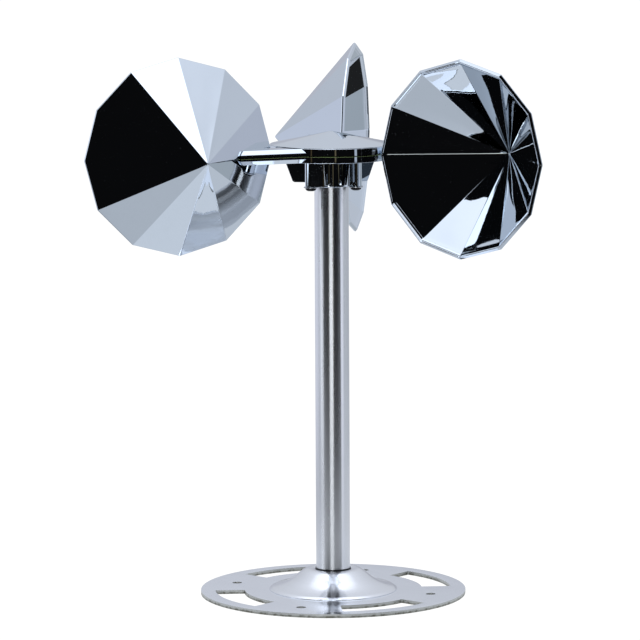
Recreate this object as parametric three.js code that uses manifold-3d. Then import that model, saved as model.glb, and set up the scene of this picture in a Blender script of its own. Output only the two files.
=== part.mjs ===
// Cup anemometer on a post: a three-cup rotor turning on two ball bearings at the top of a
// tube that is welded to a slotted round base plate. Millimetres, +Z up, origin on the
// underside of the base plate at the post's axis.
import * as THREE from "three";
import { mergeVertices } from "three/addons/utils/BufferGeometryUtils.js";
import Module from "manifold-3d";

const wasm = await Module();
wasm.setup();

// ---- driving dimensions -------------------------------------------------------------
const DEG = Math.PI / 180;
const FIT = 0.3; // gap between moulded pieces
const RUN = 0.05; // radial gap between turned pieces
const SINK = 0.5; // how far an added solid reaches into its neighbour
const PAST = 1; // how far a cutter reaches past what it cuts

const PLATE = { radius: 97.5, thickness: 3 };
const SLOT = { inner: 65.5, outer: 87, span: 45 * DEG, first: 45 * DEG, count: 4 };
const HOLE = { radius: 3.5, pitchRadius: 75, count: 4 };
const TUBE = { radius: 12.5, wall: 1.2, top: 303 };
const WELD_LEG = 4.4;
const COVER = { bore: 13.1, height: 15.3, shoulder: 19.5, rim: 47, sheet: 0.8 };
const SEAL = { radius: 12.95, bottom: 13.6, top: 15.9 }; // heights above the plate

const PLUG = { bottom: 283, collarRadius: 12.3, collar: 2 };
const SPINDLE = { radius: 3.95, bottom: 286, top: 335.5, chamfer: 0.6 };
const BEARING = { bore: 4, outer: 11, width: 7, pitch: 7.6, ball: 1.98, balls: 7 };
const LAND = { inner: 6, outer: 9.2, groove: 2.1 };
const SHIELD = { inner: 6.3, outer: 9.12, inset: 0.3, thickness: 0.35 };
const SHIM = { radius: 5.9, thickness: 0.5 };
const SPACER = { radius: 5.8, length: 6 };
const NUT = { acrossFlats: 13, hex: 6, collarRadius: 5.9, height: 8 };
const NUT_WASHER = 1.2;

const ARMS = 3;
const ARM_TURN = (2 * Math.PI) / ARMS;
const ROTOR_REST = 219.6 * DEG; // direction of the first arm
const SEAM = 326.5; // height of the joint between the two hub shells and of the cups' centres
const ARM = { half: 5.2, side: 2.2, back: 31.7, front: 10, root: 12, end: 82, tip: 68, inside: 2.6 };
const DRUM = { radius: 45, wall: 1.9, segments: 72 };
const CUP = { sides: 12, radius: 71.5, depth: 60.8, reach: 117.6, skirt: 2.3, land: 67.6, inside: 58.6 };
const LIP = { radius: 69.4, depth: 1.2 };
const TONGUE = { near: 48, lean: 56, far: 83, front: 13, back: 27, half: 1.5 };
const PEG = { reach: 60, side: 22, radius: 2 };

const HOUSING = { radius: 17.5, bottom: 301.5, neck: 14, recess: 13.4, web: 9.6 };
const TOWER = { radius: 4.3, reach: 19.1, turn: 16.8 * DEG, bore: 2.2 };
const APRON = { turn: 68.8 * DEG, length: 8.5 };
const RIB = { thickness: 1.8, top: 35.2, bottom: 28.6, foot: 303.5, turns: [60.6 * DEG, 89.6 * DEG] };
const COLLAR = { bore: 9.4, radius: 10.75 };
const BOSS = { radius: 3.7, bore: 2.05 };
const CAP = { radius: 44.6, tip: 1.5, rise: 9.4, edge: 0.35, sheet: 1.6, ringInner: 8.1, ringOuter: 9.3 };
const SCREW = { radius: 1.95, head: 4, headHeight: 2.2, length: 28.6, washer: 5.2, washerThickness: 0.8 };

const FINE = 40; // segments round the large turned pieces
const COARSE = 20; // segments round the small ones

// Heights that follow from the ones above.
const TUBE_BOTTOM = PLATE.thickness;
const PLUG_TOP = TUBE.top + PLUG.collar;
const LOWER_BEARING = PLUG_TOP + SHIM.thickness;
const UPPER_BEARING = LOWER_BEARING + BEARING.width + SPACER.length;
const STACK_TOP = UPPER_BEARING + BEARING.width;
const HUB_TOP = SEAM + ARM.half;
const HUB_BOTTOM = SEAM - ARM.half;
const FLOOR = HUB_BOTTOM + DRUM.wall;
const CEILING = HUB_TOP - DRUM.wall;
const BORE = BEARING.outer + RUN;

// ---- materials ----------------------------------------------------------------------
const finish = (color, roughness, metalness = 1) =>
  new THREE.MeshStandardMaterial({ color, roughness, metalness });
const polishedSteel = () => finish(0xc9cbcd, 0.22);
const brushedSteel = () => finish(0xb9bbbe, 0.35);
const bearingSteel = () => finish(0xa8abb0, 0.2);
const zincSteel = () => finish(0x9fa3a8, 0.3);
const aluminium = () => finish(0xb4b7ba, 0.45);
const mirrorPlating = () => finish(0xdfe4ea, 0.05);

// ---- helpers: three.js geometry to solid and back ------------------------------------
function solid(geometry) {
  const plain = geometry.clone();
  plain.deleteAttribute("normal");
  plain.deleteAttribute("uv");
  const merged = mergeVertices(plain, 1e-4);
  const vertProperties = new Float32Array(merged.attributes.position.array);
  const triVerts = new Uint32Array(merged.index.array);
  return new wasm.Manifold(new wasm.Mesh({ numProp: 3, vertProperties, triVerts }));
}

function geometryOf(manifold) {
  const { vertProperties, triVerts } = manifold.getMesh();
  const geometry = new THREE.BufferGeometry();
  geometry.setAttribute("position", new THREE.BufferAttribute(vertProperties, 3));
  geometry.setIndex(new THREE.BufferAttribute(triVerts, 1));
  geometry.computeVertexNormals();
  return geometry;
}

function piece(name, geometry, material) {
  const mesh = new THREE.Mesh(geometry, material);
  mesh.name = name;
  return mesh;
}

// A turned solid: the profile is a closed loop of [radius, height] pairs, anticlockwise.
function turned(profile, segments = COARSE) {
  const points = [...profile, profile[0]].map(([r, z]) => new THREE.Vector2(r, z));
  return new THREE.LatheGeometry(points, segments).rotateX(Math.PI / 2);
}

const ring = (inner, outer, bottom, top, segments = COARSE) =>
  turned([[inner, bottom], [outer, bottom], [outer, top], [inner, top]], segments);

const rod = (radius, bottom, top, segments = COARSE) =>
  new THREE.CylinderGeometry(radius, radius, top - bottom, segments)
    .rotateX(Math.PI / 2)
    .translate(0, 0, (top + bottom) / 2);

// A flat plate: an outline of [x, y] pairs, straight up from one height to another.
function plate(outline, bottom, top, holes = []) {
  const shape = new THREE.Shape(outline.map(([x, y]) => new THREE.Vector2(x, y)));
  shape.holes = holes.map((hole) => new THREE.Path(hole.map(([x, y]) => new THREE.Vector2(x, y))));
  const block = new THREE.ExtrudeGeometry(shape, { depth: top - bottom, bevelEnabled: false });
  return block.translate(0, 0, bottom);
}

const polar = (radius, angle) => [radius * Math.cos(angle), radius * Math.sin(angle)];

// Points on an arc about the origin, both ends included.
function arc(radius, from, to, steps) {
  return Array.from({ length: steps + 1 }, (_, i) => polar(radius, from + ((to - from) * i) / steps));
}

const circle = (x, y, radius, steps) =>
  arc(radius, 0, 2 * Math.PI, steps).slice(0, -1).map(([u, v]) => [x + u, y + v]);

const turnedAbout = (manifold, angle) => manifold.rotate([0, 0, angle / DEG]);

const repeated = (manifold, count) =>
  Array.from({ length: count }, (_, i) => turnedAbout(manifold, (i * 2 * Math.PI) / count));

// ---- the stand ----------------------------------------------------------------------
function basePlate() {
  const slots = Array.from({ length: SLOT.count }, (_, i) => {
    const middle = SLOT.first + (i * 2 * Math.PI) / SLOT.count;
    const from = middle - SLOT.span / 2;
    const to = middle + SLOT.span / 2;
    return [...arc(SLOT.outer, from, to, 12), ...arc(SLOT.inner, to, from, 12)];
  });
  const holes = Array.from({ length: HOLE.count }, (_, i) => {
    const [x, y] = polar(HOLE.pitchRadius, (i * 2 * Math.PI) / HOLE.count);
    return circle(x, y, HOLE.radius, 20);
  });
  const rim = circle(0, 0, PLATE.radius, 2 * FINE);
  return piece("base_plate", plate(rim, 0, PLATE.thickness, [...slots, ...holes]), polishedSteel());
}

const mastTube = () =>
  piece(
    "mast_tube",
    ring(TUBE.radius - TUBE.wall, TUBE.radius, TUBE_BOTTOM, TUBE.top, FINE),
    brushedSteel(),
  );

function weldBead() {
  const inner = TUBE.radius + FIT / 2;
  const hollow = WELD_LEG * 0.42;
  const profile = [
    [inner, TUBE_BOTTOM],
    [inner + WELD_LEG, TUBE_BOTTOM],
    [inner + hollow, TUBE_BOTTOM + hollow],
    [inner, TUBE_BOTTOM + WELD_LEG],
  ];
  return piece("weld_bead", turned(profile, FINE), polishedSteel());
}

// The cover's outer line from its bore to its rim, as [radius, height above the plate]: a
// flat shoulder, a steep slope and a flare that runs out on the plate.
function coverLine() {
  const { bore, height, shoulder, rim } = COVER;
  const points = [
    [bore, height - 0.9],
    [bore + 0.6, height - 0.2],
    [(bore + shoulder) / 2, height],
    [shoulder, height - 0.2],
    [shoulder + 3, height - 1.7],
    [shoulder + 6.5, height - 4.4],
    [shoulder + 10.5, height - 7.6],
    [rim - 13, height - 10],
    [rim - 9, height - 11.7],
    [rim - 5, height - 12.9],
    [rim - 2, height - 13.7],
    [rim, COVER.sheet * 0.3],
  ];
  return new THREE.SplineCurve(points.map(([r, h]) => new THREE.Vector2(r, h))).getPoints(12);
}

function flangeCover() {
  const outer = coverLine();
  const inner = outer.map((point, i) => {
    const before = outer[Math.max(i - 1, 0)];
    const after = outer[Math.min(i + 1, outer.length - 1)];
    const along = after.clone().sub(before).normalize();
    return new THREE.Vector2(point.x + along.y * COVER.sheet, point.y - along.x * COVER.sheet);
  });
  inner[0].x = COVER.bore;
  const last = inner.length - 1;
  inner[last].set(COVER.rim - COVER.sheet, 0);
  const line = [...inner, new THREE.Vector2(COVER.rim, 0), ...outer.reverse()];
  const profile = line.map((point) => [point.x, point.y + PLATE.thickness]);
  return piece("flange_cover", turned(profile, FINE), brushedSteel());
}

// A rubber ring that closes the gap between the tube and the cover's bore.
function coverSeal() {
  const inner = TUBE.radius + RUN;
  const { radius, bottom, top } = SEAL;
  const profile = [
    [inner, bottom],
    [radius, bottom],
    [radius, top - 0.2],
    [radius - 0.15, top],
    [inner, top],
  ];
  const line = profile.map(([r, h]) => [r, h + PLATE.thickness]);
  return piece("cover_seal", turned(line, FINE), finish(0x15161a, 0.6, 0));
}

// ---- the spindle and its stack -------------------------------------------------------
function tubePlug() {
  const fitRadius = TUBE.radius - TUBE.wall - RUN * 2;
  const bore = SPINDLE.radius + RUN * 2;
  const profile = [
    [bore, PLUG.bottom],
    [fitRadius - 0.8, PLUG.bottom],
    [fitRadius, PLUG.bottom + 0.8],
    [fitRadius, TUBE.top],
    [PLUG.collarRadius, TUBE.top],
    [PLUG.collarRadius, PLUG_TOP],
    [bore, PLUG_TOP],
  ];
  return piece("tube_plug", turned(profile, FINE), aluminium());
}

function spindle() {
  const { radius, bottom, top, chamfer } = SPINDLE;
  const points = [
    [0, bottom],
    [radius - chamfer, bottom],
    [radius, bottom + chamfer],
    [radius, top - chamfer],
    [radius - chamfer, top],
    [0, top],
  ].map(([r, z]) => new THREE.Vector2(r, z));
  return piece("spindle", new THREE.LatheGeometry(points, COARSE).rotateX(Math.PI / 2), zincSteel());
}

const onSpindle = (name, radius, bottom, thickness, material) =>
  piece(name, ring(BEARING.bore + RUN, radius, bottom, bottom + thickness), material);

// A deep-groove bearing: two grooved rings, the balls held in their cage, and two shields.
function grooveArc(land, middle, steps) {
  const reach = land - BEARING.pitch;
  const half = Math.acos(Math.abs(reach) / LAND.groove);
  return Array.from({ length: steps + 1 }, (_, i) => {
    const angle = -half + (2 * half * i) / steps;
    const radius = BEARING.pitch + Math.sign(reach) * LAND.groove * Math.cos(angle);
    return [radius, middle + LAND.groove * Math.sin(angle)];
  });
}

function ballsInCage(middle) {
  const cage = solid(ring(BEARING.pitch - 0.5, BEARING.pitch + 0.5, middle - 1.4, middle + 1.4));
  const ball = solid(new THREE.SphereGeometry(BEARING.ball, 7, 5));
  const balls = repeated(ball.translate([BEARING.pitch, 0, middle]), BEARING.balls);
  return geometryOf(balls.reduce((whole, one) => whole.add(one), cage));
}

function bearing(prefix, bottom) {
  const top = bottom + BEARING.width;
  const middle = bottom + BEARING.width / 2;
  const bore = BEARING.bore + RUN;
  const innerRing = [[bore, bottom], [LAND.inner, bottom], ...grooveArc(LAND.inner, middle, 4)];
  const outerRing = [[BEARING.outer, bottom], [BEARING.outer, top], [LAND.outer, top]];
  const shield = (name, z) =>
    piece(name, ring(SHIELD.inner, SHIELD.outer, z, z + SHIELD.thickness), zincSteel());
  return {
    fixed: [
      piece(
        prefix + "_bearing_inner_ring",
        turned([...innerRing, [LAND.inner, top], [bore, top]]),
        bearingSteel(),
      ),
    ],
    balls: [piece(prefix + "_bearing_balls", ballsInCage(middle), bearingSteel())],
    turning: [
      piece(
        prefix + "_bearing_outer_ring",
        turned([...outerRing, ...grooveArc(LAND.outer, middle, 4).reverse(), [LAND.outer, bottom]]),
        bearingSteel(),
      ),
      shield(prefix + "_bearing_lower_shield", bottom + SHIELD.inset),
      shield(prefix + "_bearing_upper_shield", top - SHIELD.inset - SHIELD.thickness),
    ],
  };
}

function lockNut() {
  const bottom = STACK_TOP + NUT_WASHER;
  const corner = NUT.acrossFlats / Math.sqrt(3);
  const hex = solid(rod(corner, bottom, bottom + NUT.hex, 6));
  const collar = solid(rod(NUT.collarRadius, bottom + NUT.hex - 1, bottom + NUT.height));
  const bore = solid(rod(BEARING.bore + RUN, bottom - PAST, bottom + NUT.height + PAST));
  return piece("lock_nut", geometryOf(hex.add(collar).subtract(bore)), zincSteel());
}

// ---- the hub: two moulded shells that hold the cups' tongues between them ------------
// Plan of one arm, moved inwards by inset. The arm runs along +X of its own sector from
// inside the drum; "side" is measured across it, towards the pointed back of its cup.
function armOutline(inset) {
  const front = ARM.front + inset;
  const back = ARM.back - inset;
  const end = ARM.end - inset;
  const tip = ARM.tip - inset;
  return [[ARM.root, front], [tip, front], [end, front + end - tip], [end, back], [ARM.root, back]];
}

// One arm with a 45 degree bevel round both faces.
function armBlock() {
  const shape = new THREE.Shape(armOutline(0).map(([x, y]) => new THREE.Vector2(x, y)));
  const bevel = ARM.half - ARM.side;
  const block = new THREE.ExtrudeGeometry(shape, {
    depth: 2 * ARM.side,
    bevelThickness: bevel,
    bevelSize: bevel,
    bevelOffset: -bevel,
    bevelSegments: 1,
  });
  return solid(block.translate(0, 0, SEAM - ARM.side));
}

// The drum's upright wall and its three bevelled arms.
const hubBlock = () =>
  addAll(solid(rod(DRUM.radius, HUB_BOTTOM, HUB_TOP, DRUM.segments)), allArms(armBlock()));

// A twelve-sided solid lying on its side, from [radius, side] pairs: its corners stand
// straight up and straight out, and its mouth faces -Y.
function cupSolid(points) {
  const profile = points.map(([radius, side]) => new THREE.Vector2(radius, side));
  return solid(new THREE.LatheGeometry(profile, CUP.sides).translate(CUP.reach, 0, SEAM));
}

const cupPoint = (radius, mouth) =>
  cupSolid([[0, mouth], [radius, mouth], [radius, 0], [0, (CUP.depth * radius) / CUP.radius]]);

// The space that one cup fills, widened by a gap, for cutting its neighbours.
function cupSpace(gap) {
  const slope = Math.atan2(CUP.depth, CUP.radius);
  return cupPoint(CUP.radius + gap / Math.sin(slope), -CUP.skirt - gap);
}

const allArms = (manifold) => repeated(manifold, ARMS);
const subtractAll = (from, parts) => parts.reduce((rest, part) => rest.subtract(part), from);
const addAll = (to, parts) => parts.reduce((whole, part) => whole.add(part), to);

function tongueBlock(gap) {
  const { near, lean, far, front, back, half } = TONGUE;
  const outline = [
    [near - gap, front - gap],
    [lean, front - gap],
    [far, back + gap],
    [near - gap, back + gap],
  ];
  return solid(plate(outline, SEAM - half - gap, SEAM + half + gap));
}

function hubCavity() {
  const drum = solid(rod(DRUM.radius - DRUM.wall, FLOOR, CEILING, DRUM.segments));
  const arm = solid(plate(armOutline(ARM.inside), FLOOR, CEILING));
  return subtractAll(addAll(drum, allArms(arm)), allArms(cupSpace(DRUM.wall + FIT)));
}

const towerPoint = (radius, bottom, top) => {
  const [x, y] = polar(TOWER.reach, TOWER.turn);
  return solid(rod(radius, bottom, top, 20)).translate([x, y, 0]);
};

// A flat wall from each screw tower to the bearing housing.
function apron() {
  const [x, y] = polar(TOWER.reach, TOWER.turn);
  const [outX, outY] = polar(TOWER.radius, APRON.turn);
  const [alongX, alongY] = polar(APRON.length, APRON.turn + Math.PI / 2);
  const outline = [
    [x, y],
    [x + outX, y + outY],
    [x + outX + alongX, y + outY + alongY],
    [x + alongX, y + alongY],
  ];
  return solid(plate(outline, HOUSING.bottom, HUB_BOTTOM + SINK));
}

function hubShells() {
  const block = subtractAll(hubBlock(), allArms(cupSpace(FIT)))
    .subtract(hubCavity());
  const open = subtractAll(block, allArms(tongueBlock(FIT)));
  const reach = CUP.reach;
  const half = (bottom, top) => solid(rod(reach, bottom, top, 12));
  return {
    lower: open.intersect(half(HUB_BOTTOM - PAST, SEAM - FIT / 2)),
    upper: open.intersect(half(SEAM + FIT / 2, HUB_TOP + PAST)),
  };
}

function bearingHousing() {
  const { radius, bottom, neck, recess, web } = HOUSING;
  const profile = [
    [recess, bottom],
    [radius, bottom],
    [radius, FLOOR],
    [neck, FLOOR],
    [neck, SEAM - FIT],
    [BORE, SEAM - FIT],
    [BORE, UPPER_BEARING],
    [web, UPPER_BEARING],
    [web, LOWER_BEARING + BEARING.width],
    [BORE, LOWER_BEARING + BEARING.width],
    [BORE, LOWER_BEARING],
    [recess, LOWER_BEARING],
  ];
  return solid(turned(profile, FINE));
}

function stiffeningRib() {
  const foot = HOUSING.neck + 2;
  const corner = 1.5;
  const outline = [
    [foot, RIB.foot],
    [RIB.bottom - corner, RIB.foot],
    [RIB.bottom, RIB.foot + corner / 2],
    [RIB.top, HUB_BOTTOM + SINK],
    [foot, HUB_BOTTOM + SINK],
  ];
  const upright = plate(outline, -RIB.thickness / 2, RIB.thickness / 2).rotateX(Math.PI / 2);
  return solid(upright);
}

function hubLowerShell(shell) {
  const well = solid(rod(HOUSING.neck + 1, HUB_BOTTOM - PAST, SEAM));
  const ribs = RIB.turns.map((turn) => turnedAbout(stiffeningRib(), turn));
  const towers = allArms(towerPoint(TOWER.radius, HOUSING.bottom, SEAM - FIT / 2));
  const screwWays = allArms(towerPoint(TOWER.bore, HOUSING.bottom - PAST, SEAM + PAST));
  const bearingWay = solid(rod(BORE, LOWER_BEARING + PAST, SEAM + PAST, FINE));
  const seatBottom = LOWER_BEARING + BEARING.width;
  const seats = solid(ring(HOUSING.web, BORE + SINK, seatBottom, UPPER_BEARING, FINE));
  const tubeWay = solid(rod(HOUSING.recess, HOUSING.bottom - PAST, LOWER_BEARING, FINE));
  let body = shell.subtract(well).add(bearingHousing());
  for (const rib of ribs) body = addAll(body, allArms(rib));
  body = addAll(addAll(body, towers), allArms(apron()));
  body = body.subtract(bearingWay).add(seats).subtract(tubeWay);
  return piece("hub_lower_shell", geometryOf(subtractAll(body, screwWays)), mirrorPlating());
}

function hubUpperShell(shell) {
  const collar = solid(ring(COLLAR.bore, COLLAR.radius, STACK_TOP + FIT, CEILING + SINK, FINE));
  const opening = solid(rod(COLLAR.bore, SEAM, HUB_TOP + PAST, FINE));
  const bosses = allArms(towerPoint(BOSS.radius, SEAM + FIT / 2, CEILING + SINK));
  const screwWays = allArms(towerPoint(BOSS.bore, SEAM - PAST, CEILING));
  const pin = solid(rod(PEG.radius, SEAM - TONGUE.half, CEILING + SINK, 16));
  const peg = pin.translate([PEG.reach, PEG.side, 0]);
  const body = addAll(addAll(shell.add(collar), bosses), allArms(peg)).subtract(opening);
  return piece("hub_upper_shell", geometryOf(subtractAll(body, screwWays)), mirrorPlating());
}

function hubCap() {
  const { radius, tip, rise, edge, sheet, ringInner, ringOuter } = CAP;
  const bottom = HUB_TOP + RUN;
  const slope = (rise - edge) / (radius - tip);
  const under = (r) => bottom + edge + (radius - r) * slope - sheet;
  const foot = radius - (sheet - edge) / slope;
  const points = [
    [0, under(ringInner)],
    [ringInner, under(ringInner)],
    [ringInner, HUB_TOP - 1.5],
    [ringOuter, HUB_TOP - 1.5],
    [ringOuter, under(ringOuter)],
    [foot, bottom],
    [radius, bottom],
    [radius, bottom + edge],
    [tip, bottom + rise],
    [0, bottom + rise],
  ].map(([r, z]) => new THREE.Vector2(r, z));
  return piece("hub_cap", new THREE.LatheGeometry(points, FINE).rotateX(Math.PI / 2), mirrorPlating());
}

function hubScrew(name) {
  const { radius, head, headHeight, length, washerThickness } = SCREW;
  const top = HOUSING.bottom - washerThickness;
  const points = [
    [0, top - headHeight],
    [head * 0.6, top - headHeight],
    [head * 0.92, top - headHeight * 0.65],
    [head, top - headHeight * 0.25],
    [head, top],
    [radius, top],
    [radius, top + length - 1],
    [radius - 0.8, top + length],
    [0, top + length],
  ].map(([r, z]) => new THREE.Vector2(r, z));
  const blank = solid(new THREE.LatheGeometry(points, 20).rotateX(Math.PI / 2));
  const wing = new THREE.BoxGeometry(head, 0.9, 2.4).translate(0, 0, top - headHeight);
  const cross = solid(wing).add(solid(wing.clone().rotateZ(Math.PI / 2)));
  return piece(name, geometryOf(blank.subtract(cross)), zincSteel());
}

function screwWasher(name) {
  const top = HOUSING.bottom;
  const flat = ring(SCREW.radius + RUN * 2, SCREW.washer, top - SCREW.washerThickness, top, 24);
  return piece(name, flat, zincSteel());
}

// ---- the cups -----------------------------------------------------------------------
function cup(name) {
  const outside = cupPoint(CUP.radius, -CUP.skirt);
  const step = LIP.depth - CUP.skirt;
  const inside = cupSolid([
    [0, -CUP.skirt - PAST],
    [LIP.radius, -CUP.skirt - PAST],
    [LIP.radius, step],
    [CUP.land, step],
    [CUP.land, 0],
    [0, CUP.inside],
  ]);
  const pegHole = solid(rod(PEG.radius + FIT, HUB_BOTTOM, HUB_TOP, 16));
  const tongue = tongueBlock(0).subtract(pegHole.translate([PEG.reach, PEG.side, 0]));
  return piece(name, geometryOf(outside.add(tongue).subtract(inside)), mirrorPlating());
}

// ---- assembly -----------------------------------------------------------------------
// A frame at one hub screw, so that the screw and its washer are made at the origin.
function atTower(index, ...pieces) {
  const place = new THREE.Group();
  const [x, y] = polar(TOWER.reach, TOWER.turn + index * ARM_TURN);
  place.position.set(x, y, 0);
  place.add(...pieces);
  return place;
}

const object = new THREE.Group();
const rotor = new THREE.Group();
rotor.rotation.z = ROTOR_REST;

object.add(basePlate(), mastTube(), weldBead(), flangeCover(), coverSeal(), tubePlug(), spindle());
object.add(onSpindle("shim_washer", SHIM.radius, PLUG_TOP, SHIM.thickness, zincSteel()));
object.add(
  onSpindle("bearing_spacer", SPACER.radius, LOWER_BEARING + BEARING.width, SPACER.length, aluminium()),
);
object.add(onSpindle("nut_washer", SHIM.radius, STACK_TOP, NUT_WASHER, zincSteel()));
object.add(lockNut());

for (const [prefix, bottom] of [["lower", LOWER_BEARING], ["upper", UPPER_BEARING]]) {
  const { fixed, balls, turning } = bearing(prefix, bottom);
  object.add(...fixed, ...balls);
  rotor.add(...turning);
}

const shells = hubShells();
rotor.add(hubLowerShell(shells.lower), hubUpperShell(shells.upper), hubCap());
["a", "b", "c"].forEach((letter, index) => {
  const blade = cup("cup_" + letter);
  blade.rotation.z = index * ARM_TURN;
  rotor.add(blade);
  rotor.add(atTower(index, hubScrew("hub_screw_" + letter), screwWasher("screw_washer_" + letter)));
});
object.add(rotor);

export default object;
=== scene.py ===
"""Looks for the cup anemometer: a mirror-plated three-cup rotor on a stainless stand.

The sizes below are in millimetres and repeat the solids of the frame, with finer edges.
"""
import math

import bmesh
import bpy
from mathutils import Matrix, Vector, noise


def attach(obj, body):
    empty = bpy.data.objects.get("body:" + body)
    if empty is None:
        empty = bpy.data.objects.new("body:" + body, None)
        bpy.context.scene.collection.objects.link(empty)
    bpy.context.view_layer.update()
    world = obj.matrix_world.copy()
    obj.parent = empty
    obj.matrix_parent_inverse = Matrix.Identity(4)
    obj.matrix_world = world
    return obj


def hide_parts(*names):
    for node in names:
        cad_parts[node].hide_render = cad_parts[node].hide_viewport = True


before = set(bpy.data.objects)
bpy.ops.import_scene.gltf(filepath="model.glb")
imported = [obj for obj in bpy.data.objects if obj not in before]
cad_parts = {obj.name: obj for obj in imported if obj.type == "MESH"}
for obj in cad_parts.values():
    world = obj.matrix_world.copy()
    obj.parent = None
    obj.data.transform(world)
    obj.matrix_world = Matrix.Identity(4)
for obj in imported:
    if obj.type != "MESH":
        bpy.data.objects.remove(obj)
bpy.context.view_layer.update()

MM = 0.001
TAU = 2 * math.pi
FIT = 0.3  # an easy gap between two parts
RUN = 0.05  # a close gap
SINK = 0.5  # how far an added piece reaches into what it joins

# ---- sizes of the frame ----
PLATE_RADIUS = 97.5
PLATE_TOP = 3.0
SLOT_INNER, SLOT_OUTER = 65.5, 87.0
BOLT_CIRCLE = 75.0
BOLT_RADIUS = 3.5
TUBE_RADIUS = 12.5
TUBE_WALL = 1.2
TUBE_TOP = 303.0
COVER_RIM = 47.0
COVER_SHEET = 0.8
PLUG_TOP = 305.0
SPINDLE_BORE = 4.05
LOWER_BEARING = 305.5
UPPER_BEARING = 318.5
BEARING_WIDTH = 7.0
BEARING_RADIUS = 11.0
BALL_CIRCLE = 7.6
BALL_RADIUS = 1.97
GROOVE_RADIUS = 2.1
INNER_LAND, OUTER_LAND = 6.0, 9.2
STACK_TOP = 325.5
NUT_BOTTOM = STACK_TOP + 1.2
SEAM = 326.5
HUB_TOP = 331.7
HUB_BOTTOM = 321.3
HUB_WALL = 1.9
FLOOR = HUB_BOTTOM + HUB_WALL
CEILING = HUB_TOP - HUB_WALL
BORE = BEARING_RADIUS + RUN
ARMS = 3
ROTOR_REST = math.radians(219.6)
CUP_REACH = 117.6
CUP_RADIUS = 71.5
CUP_DEPTH = 60.8
CUP_SIDES = 12
CUP_LIP = 2.3
INSIDE_RADIUS = 67.6
INSIDE_DEPTH = 58.6
PEG_PLACE = (60, 22, 0)
HOUSING_BOTTOM = 301.5
HOUSING_RADIUS = 17.5
TUBE_WAY = 13.4
BEARING_LEDGE = 9.6
CAP_OPENING = 9.4
TOWER_REACH = 19.1
TOWER_TURN = math.radians(16.8)
TOWER_RADIUS = 4.3
RIB_TURNS = (math.radians(60.6), math.radians(89.6))
RIB_BOTTOM = 303.5
APRON_TURN = math.radians(68.8)
APRON_LENGTH = 8.5
SCREW_SHANK = 1.95
SCREW_HOLE = 2.05


# ---- meshes ----
def linked(name, mesh, work):
    """A new object from a bmesh, which is written to the mesh and freed."""
    work.to_mesh(mesh)
    work.free()
    obj = bpy.data.objects.new(name, mesh)
    bpy.context.scene.collection.objects.link(obj)
    return obj


def mesh_object(name, points, faces):
    """A mesh from points in millimetres, with its normals pointing outwards."""
    mesh = bpy.data.meshes.new(name)
    mesh.from_pydata([[c * MM for c in p] for p in points], [], faces)
    work = bmesh.new()
    work.from_mesh(mesh)
    bmesh.ops.remove_doubles(work, verts=work.verts, dist=1e-7)
    bmesh.ops.recalc_face_normals(work, faces=work.faces)
    return linked(name, mesh, work)


def smooth(obj, angle=35):
    """Smooth shading with sharp edges above an angle in degrees."""
    mesh = obj.data
    mesh.polygons.foreach_set("use_smooth", [True] * len(mesh.polygons))
    mesh.set_sharp_from_angle(angle=math.radians(angle))
    modifier = obj.modifiers.new("even_normals", "WEIGHTED_NORMAL")
    modifier.keep_sharp = True
    modifier.weight = 90
    return apply_modifiers(obj)


def apply_modifiers(obj):
    bpy.context.view_layer.update()
    evaluated = obj.evaluated_get(bpy.context.evaluated_depsgraph_get())
    mesh = bpy.data.meshes.new_from_object(evaluated)
    obj.modifiers.clear()
    obj.data = mesh
    return obj


def combine(obj, others, operation):
    """obj with others cut out of it (DIFFERENCE), joined on (UNION) or kept (INTERSECT)."""
    for other in others:
        modifier = obj.modifiers.new("join", "BOOLEAN")
        modifier.object = other
        modifier.operation = operation
        modifier.solver = "MANIFOLD"
        apply_modifiers(obj)
        bpy.data.objects.remove(other)
    return obj


def placed(obj, turn=0.0, offset=(0, 0, 0)):
    """Moves the mesh by an offset in millimetres, then turns it about the Z axis."""
    move = Matrix.Translation(Vector(offset) * MM)
    obj.data.transform(Matrix.Rotation(turn, 4, "Z") @ move)
    return obj


def fillet(line, radii, steps=5):
    """Rounds the corners of a closed line of 2-D points; radii has one number per corner."""
    result = []
    count = len(line)
    for i, (point, radius) in enumerate(zip(line, radii)):
        here = Vector(point)
        before = Vector(line[i - 1]) - here
        after = Vector(line[(i + 1) % count]) - here
        turn = before.angle(after) / 2
        if radius <= 0 or turn > math.radians(89):
            result.append(tuple(here))
            continue
        reach = min(radius / math.tan(turn), 0.48 * before.length, 0.48 * after.length)
        size = reach * math.tan(turn)
        before.normalize()
        after.normalize()
        centre = here + (before + after).normalized() * (size / math.sin(turn))
        start = here + before * reach - centre
        end = here + after * reach - centre
        sweep = start.angle(end)
        for k in range(steps + 1):
            part = k / steps
            weight = math.sin(sweep)
            arm = start * (math.sin((1 - part) * sweep) / weight)
            arm += end * (math.sin(part * sweep) / weight)
            result.append(tuple(centre + arm))
    return result


def turned(name, line, segments=128, wobble=None):
    """A closed line of (radius, height) pairs turned about Z. wobble(angle, radius) gives
    what to add to a radius."""
    points, rings = [], []
    for radius, height in line:
        count = 1 if radius < 1e-6 else segments
        rings.append(list(range(len(points), len(points) + count)))
        for i in range(count):
            angle = TAU * i / segments
            grown = radius + (wobble(angle, radius) if wobble else 0)
            points.append((grown * math.cos(angle), grown * math.sin(angle), height))
    faces = []
    for low, high in zip(rings, rings[1:] + rings[:1]):
        for i in range(segments):
            j = i + 1
            corners = ((low, i), (low, j), (high, j), (high, i))
            corners = list(dict.fromkeys(ring[k % len(ring)] for ring, k in corners))
            if len(corners) > 2:
                faces.append(corners)
    return mesh_object(name, points, faces)


def rounded_turn(name, line, edge, segments=128, steps=3):
    """A turned piece whose corners off the axis are all rounded by the same radius."""
    radii = [0 if radius < 1e-6 else edge for radius, _ in line]
    return turned(name, fillet(line, radii, steps), segments)


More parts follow.
